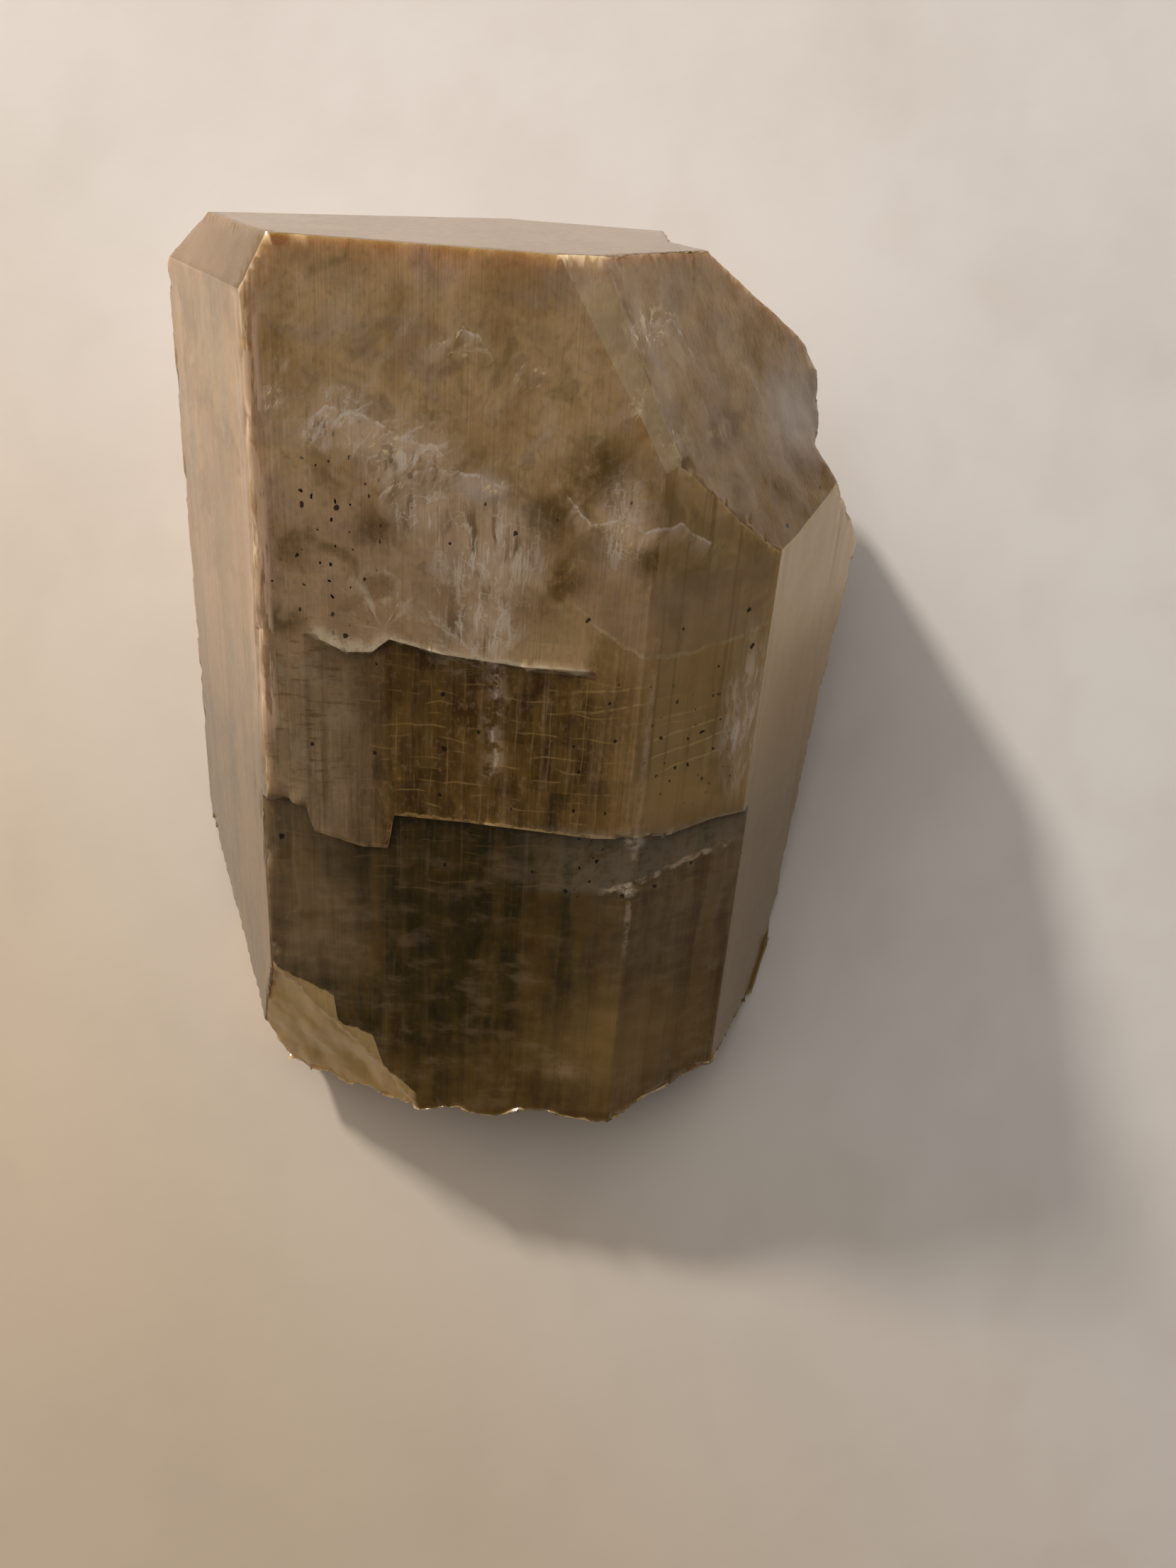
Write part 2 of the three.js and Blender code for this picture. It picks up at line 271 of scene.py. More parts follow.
# ---------------------------------------------------------------- paper, in metres
PAPER_MOTTLE = ((60, 60, 60), 3, 0.6)
PAPER_BLOTS = ((160, 110, 160), 2, 0.5)
PAPER_GRAIN = ((900, 900, 900), 3, 0.6)
MOTTLE_FROM_TO = (0.35, 0.7)
MOTTLE_SHARE = 0.16
BLOTS_FROM_TO = (0.50, 0.75)
BLOTS_SHARE = 0.10
# Painted warm light on the paper, toward the left and the front.
WARM_SLANT = (-0.75, -0.6)  # the way the paper gets warmer
WARM_FROM_TO = (-0.01, 0.045)
# Painted shadow toward the front of the paper, where the viewer stands.
NEAR_FROM_TO = (-0.02, -0.055)
NEAR_SHARE = 0.35
# Painted shade toward the far left of the paper.
FAR_SLANT = -0.35
FAR_FROM_TO = (0.01, 0.07)
FAR_SHARE = 0.22
GRAIN_HEIGHT = 0.00003
GRAIN_STRENGTH = 0.3
PAPER_ROUGHNESS = 0.85

# ---------------------------------------------------------------- colours, as sRGB
GOLD = "#dbb27c"
HONEY = "#c0965e"
MAUVE = "#bb987c"
MILK = "#ecc8a4"
WHITE = "#fce8ce"
MID = "#85612b"
UMBER = "#7f6136"
DEEP = "#513a17"
BROWN = "#55370b"
OLIVE = "#574314"
NIGHT = "#36290a"
AMBER = "#c49a5c"
CREAM = "#ecd3aa"
GILT = "#dcb475"
SPECK = "#22180f"
# The colour of the painted glints.
SPARK = "#ffe2ae"
BLUISH = "#d6cabf"
HAZE = "#bd9a72"
PALE_SIDE = "#8e7152"
SIDE = "#70604c"
# Orange of the painted glow on the right face.
RIGHT_GLOW = "#b9804e"
MUSHROOM = "#cdb28a"
CLEAR = "#6f5022"
BREAK = "#7c5929"
# Pale gold of the painted light on the right face.
RIGHT_SIDE = "#ffd795"
END = "#4e3620"
CORNER = "#6e5034"
PAPER = "#e6dbd0"
# Tint of the painted warm light on the paper.
WARM_LIGHT_PAPER = "#dbc2a3"
# The paper's faint stains, and the colour of its painted shade.
STAIN_AND_SHADE = "#b9a48f"
GREY_MILK = "#9a8b72"


def linear(text):
    """A colour socket's value for an sRGB colour."""
    levels = [int(text[i : i + 2], 16) / 255 for i in (1, 3, 5)]
    return (*(v / 12.92 if v <= 0.04045 else ((v + 0.055) / 1.055) ** 2.4 for v in levels), 1)


class Painter:
    """Adds nodes to a material. Most methods take numbers or sockets and return an output socket."""

    def __init__(self, tree):
        self.tree = tree

    def node(self, kind, settings=None, inputs=None):
        node = self.tree.nodes.new(kind)
        for name, value in (settings or {}).items():
            setattr(node, name, value)
        for name, value in (inputs or {}).items():
            self.feed(node.inputs[name], value)
        return node

    def feed(self, socket, value):
        if isinstance(value, bpy.types.NodeSocket):
            self.tree.links.new(value, socket)
        elif isinstance(value, str):
            socket.default_value = linear(value)
        else:
            socket.default_value = value

    def math(self, operation, a, b=0.0):
        return self.node("ShaderNodeMath", {"operation": operation}, {0: a, 1: b}).outputs[0]

    def times(self, first, *others):
        for other in others:
            first = self.math("MULTIPLY", first, other)
        return first

    def add(self, first, *others):
        for other in others:
            first = self.math("ADD", first, other)
        return first

    def inverse(self, value):
        return self.math("SUBTRACT", 1.0, value)

    def mix(self, share, low, high):
        node = self.node("ShaderNodeMix", {"data_type": "RGBA", "clamp_factor": True})
        for index, value in ((0, share), (6, low), (7, high)):
            self.feed(node.inputs[index], value)
        return node.outputs[2]

    def step(self, value, start, end):
        """0 before start and 1 after end, with a smooth rise between them."""
        node = self.node("ShaderNodeMapRange", {"interpolation_type": "SMOOTHSTEP"}, {"Value": value})
        low, high = min(start, end), max(start, end)
        for index, number in enumerate((low, high, float(start > end), float(start < end)), 1):
            node.inputs[index].default_value = number
        return node.outputs[0]

    def band(self, value, start, end, soft):
        """1 between start and end, falling to 0 within soft outside them."""
        return self.times(self.step(value, start - soft, start), self.step(value, end + soft, end))

    def stretch(self, vector, factors):
        vectors = {0: vector, 1: factors}
        return self.node("ShaderNodeVectorMath", {"operation": "MULTIPLY"}, vectors).outputs[0]

    def shift(self, vector, offset):
        return self.node("ShaderNodeVectorMath", {"operation": "ADD"}, {0: vector, 1: offset}).outputs[0]

    def spot(self, vector, centre, radii, soft):
        """1 in an ellipsoid and 0 outside it; soft is the share of the radius that fades."""
        moved = self.shift(vector, [-c for c in centre])
        scaled = self.stretch(moved, [1 / r for r in radii])
        length = self.node("ShaderNodeVectorMath", {"operation": "LENGTH"}, {0: scaled}).outputs["Value"]
        return self.step(length, 1.0, 1.0 - soft)

    def noise(self, vector, factors, detail=3.0, roughness=0.5, distortion=0.0, colour=False):
        inputs = {
            "Vector": self.stretch(vector, factors),
            "Scale": 1.0,
            "Detail": detail,
            "Roughness": roughness,
            "Distortion": distortion,
        }
        node = self.node("ShaderNodeTexNoise", None, inputs)
        return node.outputs["Color" if colour else 0]

    def ridge(self, vector, factors, width, detail=3.0, distortion=0.0):
        """Thin wandering threads: 1 on the middle value of a noise, 0 further than width from it."""
        value = self.noise(vector, factors, detail, 0.55, distortion)
        away = self.math("ABSOLUTE", self.math("SUBTRACT", value, 0.5))
        return self.step(away, width, 0.0)

    def grains(self, vector, factors, radius, share):
        """Small separate grains, looked at from the front, in a share of the cells of a grid."""
        node = self.node("ShaderNodeTexVoronoi", {"feature": "F1", "voronoi_dimensions": "2D"},
                         {"Vector": self.stretch(vector, (*factors, 1)), "Scale": 1.0})
        pick = self.node("ShaderNodeSeparateColor", None, {0: node.outputs["Color"]})
        size = self.lift(pick.outputs[1], radius, radius * 0.4)
        near = self.math("DIVIDE", node.outputs["Distance"], size)
        return self.times(self.step(near, 1.0, 0.6), self.math("LESS_THAN", pick.outputs[0], share))

    def warp(self, vector, factors, amount, seed=0.0):
        """The vector moved about by a soft noise, by up to half the amount."""
        stir = self.noise(self.shift(vector, (seed, seed, seed)), factors, 2.0, 0.5, 0.0, colour=True)
        centred = self.shift(stir, (-0.5, -0.5, -0.5))
        return self.node("ShaderNodeVectorMath", {"operation": "MULTIPLY_ADD"},
                         {0: centred, 1: (amount, amount, amount), 2: vector}).outputs[0]

    def lift(self, value, scale, base):
        """value times scale, plus base."""
        node = self.math("MULTIPLY_ADD", value, scale).node
        node.inputs[2].default_value = base
        return node.outputs[0]

    def most(self, first, *others):
        for other in others:
            first = self.math("MAXIMUM", first, other)
        return first

    def lines(self, value, spacing, width):
        """Thin lines a fixed spacing apart."""
        node = self.math("PINGPONG", value, spacing / 2)
        return self.step(node, width, width * 0.3)

    def height_of(self, across, points):
        """The height of a line at a place across the face, from the line's points."""
        low_x, high_x = points[0][0], points[-1][0]
        low_y, high_y = LINE_RANGE
        node = self.node("ShaderNodeFloatCurve")
        start = self.math("SUBTRACT", across, low_x)
        self.feed(node.inputs["Value"], self.math("DIVIDE", start, high_x - low_x))
        curve = node.mapping.curves[0]
        placed = [((x - low_x) / (high_x - low_x), (y - low_y) / (high_y - low_y)) for x, y in points]
        curve.points[0].location, curve.points[1].location = placed[0], placed[-1]
        for place in placed[1:-1]:
            curve.points.new(*place)
        for point in curve.points:
            point.handle_type = "VECTOR"
        node.mapping.update()
        return self.math("ADD", self.math("MULTIPLY", node.outputs[0], high_y - low_y), low_y)


def zone_normal(azimuth, lean):
    """The outward normal of a crystal face, in the crystal frame."""
    around = math.radians(azimuth)
    tilt = math.radians(lean)
    out = math.sin(tilt)
    return Vector((math.sin(around) * out, math.cos(tilt), math.cos(around) * out))


def slice_mesh(bm, axis, step):
    """Cuts the mesh with planes a step apart, so that it has points all over its flat faces."""
    values = [v.co[axis] for v in bm.verts]
    low, high = min(values), max(values)
    normal = Vector((0, 0, 0))
    normal[axis] = 1
    for i in range(1, int((high - low) / step)):
        geom = bm.verts[:] + bm.edges[:] + bm.faces[:]
        bmesh.ops.bisect_plane(bm, geom=geom, plane_co=normal * (low + i * step), plane_no=normal,
                               dist=CUT_TOLERANCE)


def zone_of(face):
    """The number of the crystal face that a mesh face belongs to, or LEDGE, or BROKEN."""
    for name, angles in ZONES.items():
        if face.normal.dot(zone_normal(*angles)) > ZONE_COSINE:
            return ZONE_NUMBER[name]
    centre = face.calc_center_median()
    on_ledge = all(low < centre[axis] < high for axis, (low, high) in enumerate(LEDGE_BOX))
    return LEDGE if on_ledge else BROKEN


def waves(points, length, seed, count=24):
    """Smooth random relief from -1 to 1 at points, made of plane waves about length long."""
    random = np.random.default_rng(seed)
    directions = random.normal(size=(count, 3))
    directions /= np.linalg.norm(directions, axis=1)[:, None]
    pitches = 2 * np.pi / (length * random.uniform(0.6, 1.6, count))
    phases = random.uniform(0, 2 * np.pi, count)
    total = np.zeros(len(points))
    for direction, pitch, phase in zip(directions, pitches, phases):
        total += np.sin(points @ direction * pitch + phase)
    return total / math.sqrt(count)


def grooves(places, seed, spacings):
    """Relief from -1 to 0 of straight grooves: places is the distance across them."""
    random = np.random.default_rng(seed)
    total = np.zeros(len(places))
    for spacing in spacings:
        line = np.arange(-STRIAE_REACH, STRIAE_REACH, spacing)
        total += np.interp(places, line, random.uniform(-1, 0, len(line)))
    return total / len(spacings)


def nearest_edge(bm, zones):
    """Each point's distance from the nearest sharp edge, apart from the steps of the ledges."""
    tree = KDTree(len(bm.verts))
    for edge in bm.edges:
        sharp = len(edge.link_faces) == 2 and edge.calc_face_angle() > WEAR_ANGLE
        if sharp and LEDGE not in [zones[f.index] for f in edge.link_faces]:
            for vertex in edge.verts:
                tree.insert(vertex.co, vertex.index)
    tree.balance()
    return np.array([tree.find(v.co)[2] for v in bm.verts])


def relief(bm, zones):
    """How deep every point sinks into grooves, bumps and chipped edges, and how worn it is."""
    points = np.array([v.co for v in bm.verts])
    share = np.zeros((len(points), LEDGE + 1))
    for face in bm.faces:
        for vertex in face.verts:
            share[vertex.index, zones[face.index]] += 1
    share /= share.sum(axis=1, keepdims=True)
    depth = np.zeros(len(points))
    drift = DRIFT * waves(points * DRIFT_STRETCH, *DRIFT_WAVES)
    for seed, (name, height) in enumerate(STRIAE.items()):
        across = Vector((0, 1, 0)).cross(zone_normal(*ZONES[name]))
        places = points @ np.array(across) + drift
        depth -= share[:, ZONE_NUMBER[name]] * height * grooves(places, STRIAE_SEED + seed, STRIAE_SPACINGS)
    bumps = sum(height * (1 - waves(points, length, ROUGH_SEED + i)) / 2
                for i, (length, height) in enumerate(ROUGH))
    glassy = np.interp(points[:, 1], SMOOTH_BREAK_Y, (1, SMOOTH_SHARE))
    depth += share[:, BROKEN] * bumps * glassy
    crisp = np.interp(points[:, 1], WEAR_FADE_Y, (1, WEAR_AT_END))
    coarse, fine = (waves(points, length, seed) for length, seed in WEAR_WAVES)
    width = WEAR_LEAST + WEAR_MOST * crisp * np.maximum(coarse * fine, 0)
    worn = np.maximum(width - nearest_edge(bm, zones), 0) * (1 - share[:, LEDGE])
    return np.maximum(depth, 0) + WEAR_SLOPE * worn, worn / WEAR_MOST


def crystal_mesh():
    """The CAD crystal as a fine mesh with grooved faces, rough breaks and chipped edges."""
    bm = bmesh.new()
    bm.from_mesh(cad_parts[NODE].data)
    bm.transform(POSE.inverted())
    bmesh.ops.remove_doubles(bm, verts=bm.verts, dist=MERGE)
    coarse = 1
    for axis, step in ((1, CELL_ALONG), (2, CELL_ALONG), (0, CELL_ACROSS)):
        slice_mesh(bm, axis, step * coarse)
    bmesh.ops.dissolve_degenerate(bm, dist=MERGE, edges=bm.edges)
    bm.normal_update()
    bm.verts.index_update()
    bm.faces.index_update()
    zones = [zone_of(f) for f in bm.faces]
    depth, worn = relief(bm, zones)
    for vertex in bm.verts:
        vertex.co -= vertex.normal * depth[vertex.index]
    bm.transform(POSE)
    for vertex in bm.verts:
        vertex.co.z = max(vertex.co.z, CAD_BOX[0][2])
    mesh = bpy.data.meshes.new(NODE + "_surface")
    bm.to_mesh(mesh)
    bm.free()
    mesh.attributes.new("zone", "FLOAT", "FACE").data.foreach_set("value", np.array(zones, np.float32))
    mesh.attributes.new("worn", "FLOAT", "POINT").data.foreach_set("value", worn.astype(np.float32))
    mesh.shade_smooth()
    mesh.set_sharp_from_angle(angle=SHARP_ANGLE)
    return mesh


class Apatite:
    """The crystal's material: colours, veils, inclusions and marks, placed in the crystal frame."""

    def __init__(self, material):
        material.use_nodes = True
        self.paint = paint = Painter(material.node_tree)
        self.shader = material.node_tree.nodes["Principled BSDF"]
        place = paint.node("ShaderNodeTexCoord").outputs["Object"]
        mapping = paint.node("ShaderNodeMapping", {"vector_type": "TEXTURE"}, {"Vector": place})
        mapping.inputs["Location"].default_value = CRYSTAL_ORIGIN
        mapping.inputs["Rotation"].default_value = POSE_TURN.to_euler("XYZ")
        mapping.inputs["Scale"].default_value = (MM, MM, MM)
        self.mm = mapping.outputs[0]
        apart = paint.node("ShaderNodeSeparateXYZ", None, {0: self.mm})
        self.x, self.y, _ = apart.outputs
        self.zone = paint.node("ShaderNodeAttribute", {"attribute_name": "zone"}).outputs["Fac"]
        self.worn = paint.node("ShaderNodeAttribute", {"attribute_name": "worn"}).outputs["Fac"]
        self.streaks = self.pattern("streaks")
        self.fine_streaks = self.pattern("fine streaks")
        self.stirred = paint.warp(self.mm, *STIRRED)
        self.slanted = self.combed(SLANT)
        self.whirled = paint.warp(self.mm, *WHIRLED)
        self.swayed = paint.warp(self.mm, *SWAYED)
        self.below_upper = self.below(UPPER_LEDGE)
        self.below_lower = self.below(LOWER_LEDGE)
        self.colour = None

    def combed(self, angle):
        """Crystal coordinates turned about the view axis of the front face, and gently stirred."""
        turned = self.paint.node("ShaderNodeVectorRotate", {"rotation_type": "Z_AXIS"},
                                 {"Vector": self.mm, "Angle": angle}).outputs[0]
        return self.paint.warp(turned, *COMBED)

    def on(self, *names):
        """1 on the named faces; "broken" is any break and "ledge" the sides of the ledges' steps."""
        masks = []
        for name in names:
            number = float(ZONE_NUMBER.get(name, BROKEN if name == "broken" else LEDGE))
            masks.append(self.paint.node("ShaderNodeMath", {"operation": "COMPARE"},
                                         {0: self.zone, 1: number, 2: 0.5}).outputs[0])
        return self.paint.add(*masks)

    def below(self, line):
        """How far below a line across the front faces, in millimetres, slightly ragged."""
        paint = self.paint
        ragged = paint.lift(self.pattern("ragged"), RAGGED_HEIGHT, -RAGGED_HEIGHT / 2)
        return paint.add(paint.math("SUBTRACT", paint.height_of(self.x, line), self.y), ragged)

    def spot(self, centre, radii, soft, place=None):
        """A region of the front faces: centre and radii across and up, whatever the depth."""
        place = self.mm if place is None else place
        return self.paint.spot(place, (*centre, 0), (*radii, THROUGH), soft)

    def block(self, across, up):
        """A region of the front faces with level and upright sides."""
        return self.paint.times(self.paint.band(self.x, *across), self.paint.band(self.y, *up))

    def pattern(self, name, place=None):
        """A named noise, laid out in the crystal's coordinates or in a stirred copy of them."""
        return self.paint.noise(self.mm if place is None else place, *PATTERNS[name])

    def lay(self, share, colour):
        """Covers a share of what is painted so far."""
        self.colour = self.paint.mix(share, self.colour, colour)

    def cover(self, colour, share, *masks):
        """Covers a share of the places where every mask is 1."""
        self.lay(self.paint.times(*masks, share), colour)

    def bodies(self):
        """The crystal's three bands: golden above, clear brown between the ledges, dark olive below."""
        paint = self.paint
        tone = self.pattern("tone", self.stirred)
        fine = self.pattern("fine")
        self.colour = paint.mix(paint.step(tone, 0.38, 0.60), HONEY, GOLD)
        milky = paint.times(paint.step(self.y, 10.5, 4.5), paint.step(self.x, 6.0, 0.0))
        self.cover(MAUVE, 0.45, milky)

        middle = paint.mix(paint.step(fine, 0.35, 0.65), BROWN, MID)
        left = paint.times(paint.step(self.x, -2.5, -6.5), paint.lift(fine, 1.1, 0.45))
        middle = paint.mix(left, middle, HAZE)
        right = paint.step(self.x, 6.0, 9.0)
        middle = paint.mix(paint.times(right, paint.lift(tone, 0.8, 0.2)), middle, HONEY)
        sharp = paint.band(self.x, *SHARP_SPAN)
        from_edge = paint.step(self.below_upper, 0.0, 0.12)
        from_haze = paint.step(paint.add(self.y, paint.times(fine, 2.0)), 2.5, -2.5)
        self.lay(paint.mix(sharp, from_haze, from_edge), middle)

        lower = paint.mix(paint.step(fine, 0.32, 0.60), NIGHT, OLIVE)
        side = paint.add(paint.step(self.x, -2.0, -8.5), paint.step(self.x, 4.0, 14.0))
        lower = paint.mix(paint.times(side, paint.step(self.y, -26.0, -17.0), 0.5), lower, HAZE)
        pale_end = paint.add(self.y, paint.times(tone, 5.0), paint.times(self.x, -0.45))
        lower = paint.mix(paint.times(paint.step(pale_end, -20.5, -26.5), 0.6), lower, MID)
        self.lay(paint.step(self.below_lower, 0.0, 0.12), lower)

    def clouds(self):
        """Blurred golden, brown and grey-mauve shapes from cracks deep inside the upper half."""
        paint = self.paint
        upper = paint.step(self.y, -0.5, 3.5)
        busy = paint.lift(paint.step(self.y, 15.0, 9.0), 0.65, 0.35)
        broad = self.pattern("broad", paint.shift(self.stirred, (20, 3, 0)))
        self.cover(MAUVE, 0.60, paint.step(broad, 0.50, 0.68), upper)
        self.cover(UMBER, 0.65, paint.step(broad, 0.48, 0.34), upper, busy)
        wisps = self.pattern("wisps", self.whirled)
        self.cover(MILK, 0.40, paint.step(wisps, 0.55, 0.76), upper)
        self.cover(UMBER, 0.50, paint.step(wisps, 0.44, 0.30), upper, busy)
        flames = self.pattern("flames", self.slanted)
        high = paint.step(self.y, 4.0, 8.0)
        self.cover(MILK, 0.36, paint.step(flames, 0.54, 0.72), high)
        self.cover(UMBER, 0.36, paint.step(flames, 0.44, 0.30), high)
        pools = paint.most(*(self.spot(*place, 0.9) for place in DARK_POOLS))
        self.cover(CLEAR, 0.85, pools, paint.step(wisps, 0.72, 0.46))

    def veils(self):
        """Milky healed cracks: soft ground, upright fibres, slanting fibres and a few threads."""
        paint = self.paint
        room = paint.most(*(self.spot(*place, 0.9) for place in VEILS))
        clumps = self.pattern("clumps", paint.shift(self.swayed, (5, 1, 8)))
        broken = paint.step(clumps, 0.40, 0.58)
        self.cover(MILK, 0.36, room)
        self.cover(MILK, 0.58, room, broken)
        gaps = self.pattern("gaps", self.swayed)
        self.cover(CLEAR, 0.80, paint.step(gaps, 0.47, 0.33), room)
        upright = paint.step(self.pattern("upright fibres", self.swayed), 0.53, 0.62)
        low = paint.step(self.y, 8.0, 5.0)
        self.cover(WHITE, 0.75, upright, low, room)
        slanting = paint.step(self.pattern("slanting fibres", self.slanted), 0.52, 0.61)
        self.cover(WHITE, 0.85, slanting, paint.inverse(low), room, broken)
        threads = paint.ridge(self.whirled, *THREADS)
        self.cover(WHITE, 0.60, threads, room)
        self.cover(BLUISH, 0.45, self.spot(*BLUISH_VEIL))
        self.cracks()
        self.vein()

    def cracks(self):
        """Healed cracks: a thin bright border with a torn milky film that fades out below it."""
        paint = self.paint
        torn = paint.step(self.pattern("torn", self.slanted), 0.40, 0.60)
        for line, reach in CRACKS:
            under = self.below(line)
            along = paint.band(self.x, line[0][0] + 0.4, line[-1][0] - 0.4, 0.6)
            inside = paint.times(along, paint.step(under, 0.0, 0.1))
            self.cover(MILK, 0.75, inside, paint.step(under, reach, 0.0), torn)
            self.cover(WHITE, 0.75, inside, paint.step(under, 0.28, 0.10), torn)

    def vein(self):
        """The upright white crack that crosses the upper ledge, with short branches."""
        paint = self.paint
        sway = paint.lift(self.pattern("sway"), 1.2, -0.6)
        aside = paint.math("ABSOLUTE", paint.add(self.x, sway, -VEIN_X))
        length = paint.band(self.y, *VEIN_SPAN)
        patchy = paint.step(self.pattern("broken vein"), 0.42, 0.60)
        self.cover(MILK, 0.35, paint.step(aside, 0.8, 0.1), length, patchy)
        self.cover(WHITE, 0.45, paint.step(aside, 0.14, 0.03), length, patchy)
        for point, room, share in FANS:
            self.cover(WHITE, share, self.rays(*point), self.spot(*room))

    def rays(self, across, up):
        """Fine lines that fan out from a point of the front face."""
        paint = self.paint
        dx, dy = paint.add(self.x, -across), paint.add(self.y, -up)
        angle = paint.math("ARCTAN2", dy, dx)
        reach = paint.math("SQRT", paint.add(paint.times(dx, dx), paint.times(dy, dy)))
        sockets = {0: paint.times(angle, 5.0), 1: reach, 2: across}
        fan = paint.node("ShaderNodeCombineXYZ", None, sockets).outputs[0]
        bent = paint.warp(fan, *BENT_RAYS)
        return paint.step(self.pattern("rays", bent), 0.50, 0.64)

    def block_tone(self, size):
        """A random number from 0 to 1 for each rectangle of a wavy-edged grid on the front face."""
        paint = self.paint
        wavy = paint.warp(self.mm, *WAVY_BLOCKS)
        flat = paint.stretch(wavy, (1, 1, 0))
        grid = {0: flat, 1: (*size, 1.0)}
        snapped = paint.node("ShaderNodeVectorMath", {"operation": "SNAP"}, grid).outputs[0]
        middle = paint.shift(snapped, (0.01, 0.01, size[0]))
        return paint.node("ShaderNodeTexWhiteNoise", None, {"Vector": middle}).outputs[0]

    def growth_lines(self):
        """Fine straight lines along the axis, pale and dark, and broad soft streaks lower down."""
        paint = self.paint
        strength = paint.lift(paint.step(self.y, 4.0, -8.0), 0.8, 0.15)
        high = paint.lift(paint.step(self.y, -17.0, -10.0), 0.75, 0.25)
        patchy = self.pattern("patchy")
        pale = paint.step(self.fine_streaks, 0.52, 0.74)
        pale = paint.times(pale, paint.step(patchy, 0.42, 0.66), strength, high)
        self.cover(MILK, 0.28, pale)
        self.cover(NIGHT, 0.28, paint.step(self.fine_streaks, 0.46, 0.30), strength, high)
        self.cover(HAZE, 0.60, paint.step(self.streaks, 0.50, 0.70), strength, high, patchy)
        self.cover(NIGHT, 0.70, paint.step(self.streaks, 0.50, 0.30), strength, high, patchy)
        low = paint.step(self.y, -9.5, -12.5)
        curtains = self.pattern("curtains", self.swayed)
        self.cover(MID, 0.50, paint.step(curtains, 0.48, 0.70), low)
        self.cover(NIGHT, 0.40, paint.step(curtains, 0.50, 0.34), low)
        smudges = self.pattern("smudges")
        self.cover(HAZE, 0.26, paint.step(smudges, 0.48, 0.74), low)
        self.cover(NIGHT, 0.30, paint.step(smudges, 0.50, 0.32), low)
        grit = self.pattern("grit")
        above = paint.lift(paint.step(self.y, -13.0, -9.0), 0.85, 0.15)
        self.cover(MILK, 0.14, paint.step(grit, 0.52, 0.72), above)
        self.cover(NIGHT, 0.16, paint.step(grit, 0.48, 0.28), above)

    def narrow_face(self):
        """The narrow face above the lower ledge is clearer and more golden."""
        paint = self.paint
        above = paint.times(self.on("narrow"), paint.step(self.y, -11.0, -9.0))
        cloudy = self.pattern("cloudy", self.stirred)
        self.cover(GILT, 0.48, above)
        self.cover(UMBER, 0.45, above, paint.step(self.streaks, 0.50, 0.32))
        self.cover(UMBER, 0.45, above, paint.step(cloudy, 0.52, 0.36))

    def parting(self):
        """Short parting lines that make a grid with the growth lines, and gilded ones to the right."""
        paint = self.paint
        wavy = paint.times(self.pattern("wavy"), 1.1)
        level = paint.lines(paint.add(self.y, wavy), *LEVEL_LINES)
        upright = paint.lines(paint.add(self.x, paint.times(wavy, 0.4)), *UPRIGHT_LINES)
        kept_level = paint.step(self.pattern("level pieces"), 0.48, 0.62)
        pieces = self.pattern("upright pieces", paint.shift(self.mm, (11, 0, 0)))
        kept_upright = paint.step(pieces, 0.46, 0.62)
        room = paint.most(self.block(*CLEAR_BLOCK), paint.times(self.block(*WIDE_BLOCK), WIDE_SHARE))
        for size in BLOCK_SIZES:
            tone = self.block_tone(size)
            self.cover(MID, 0.34, paint.step(tone, 0.55, 1.0), room)
            self.cover(NIGHT, 0.30, paint.step(tone, 0.40, 0.0), room)
        dashes = paint.step(self.pattern("dashes"), 0.54, 0.66)
        clouded = self.spot(*CLOUDED_LEFT)
        self.cover(CLEAR, 0.5, dashes, clouded)
        puffs = paint.step(self.pattern("puffs", self.whirled), 0.48, 0.66)
        self.cover(MUSHROOM, 0.35, puffs, clouded)
        self.cover(AMBER, 0.46, level, kept_level, room)
        self.cover(AMBER, 0.34, upright, kept_upright, room)
        tilted = paint.add(self.y, paint.times(wavy, 0.7), paint.times(self.x, -0.18))
        gilded = paint.lines(tilted, *GILDED_LINES)
        tilted = paint.add(self.y, paint.times(wavy, 0.9), paint.times(self.x, -0.12))
        finer = paint.lines(tilted, *FINER_LINES)
        place = self.spot(*GILDED_PLACE)
        broad = paint.times(self.spot(*GILDED_BROAD), 0.5)
        kept_gilt = paint.step(self.streaks, 0.30, 0.55)
        self.cover(GILT, 0.85, gilded, paint.most(place, broad), kept_gilt)
        self.cover(GILT, 0.6, finer, place, kept_gilt, kept_level)

    def edges(self):
        """Lips and sides of the ledges with painted highlight and shade, marks on the narrow face, frost,
        painted white highlights, and worn edges.
        """
        crumbs = self.pattern("crumbs")
        self.upper_lip(crumbs)
        self.lower_lip(crumbs)
        self.flake(crumbs)
        self.scuff(crumbs)
        self.frost_and_highlights(crumbs)
        slivers = self.paint.step(self.pattern("slivers"), 0.44, 0.52)
        self.cover(MILK, 0.85, slivers, self.block(*LEFT_SHORE))
        self.cover(MILK, 0.5, self.worn, self.paint.step(crumbs, 0.30, 0.60))

    def upper_lip(self, crumbs):
        """The upper ledge: its cream lip and the glow above it, a painted highlight of light scattered at
        the broken lip; its painted shadow below; and the side of its step, painted bright so the step's
        shade does not show.
        """
        paint = self.paint
        across = paint.band(self.x, *UPPER_SPAN)
        width = paint.lift(paint.step(self.x, -2.0, -5.0), 0.55, 0.2)
        rise = paint.math("DIVIDE", self.below_upper, width)
        lip = paint.times(paint.step(rise, -1.3, -0.4), paint.step(self.below_upper, 0.16, 0.04), across)
        glow = paint.times(paint.step(rise, -2.6, 0.0), paint.step(self.below_upper, 0.10, 0.0), across)
        # Painted highlight: the milky glow above the lip and the cream lip itself.
        self.cover(MILK, 0.40, glow)
        self.cover(CREAM, 0.85, lip, paint.step(crumbs, 0.36, 0.54))
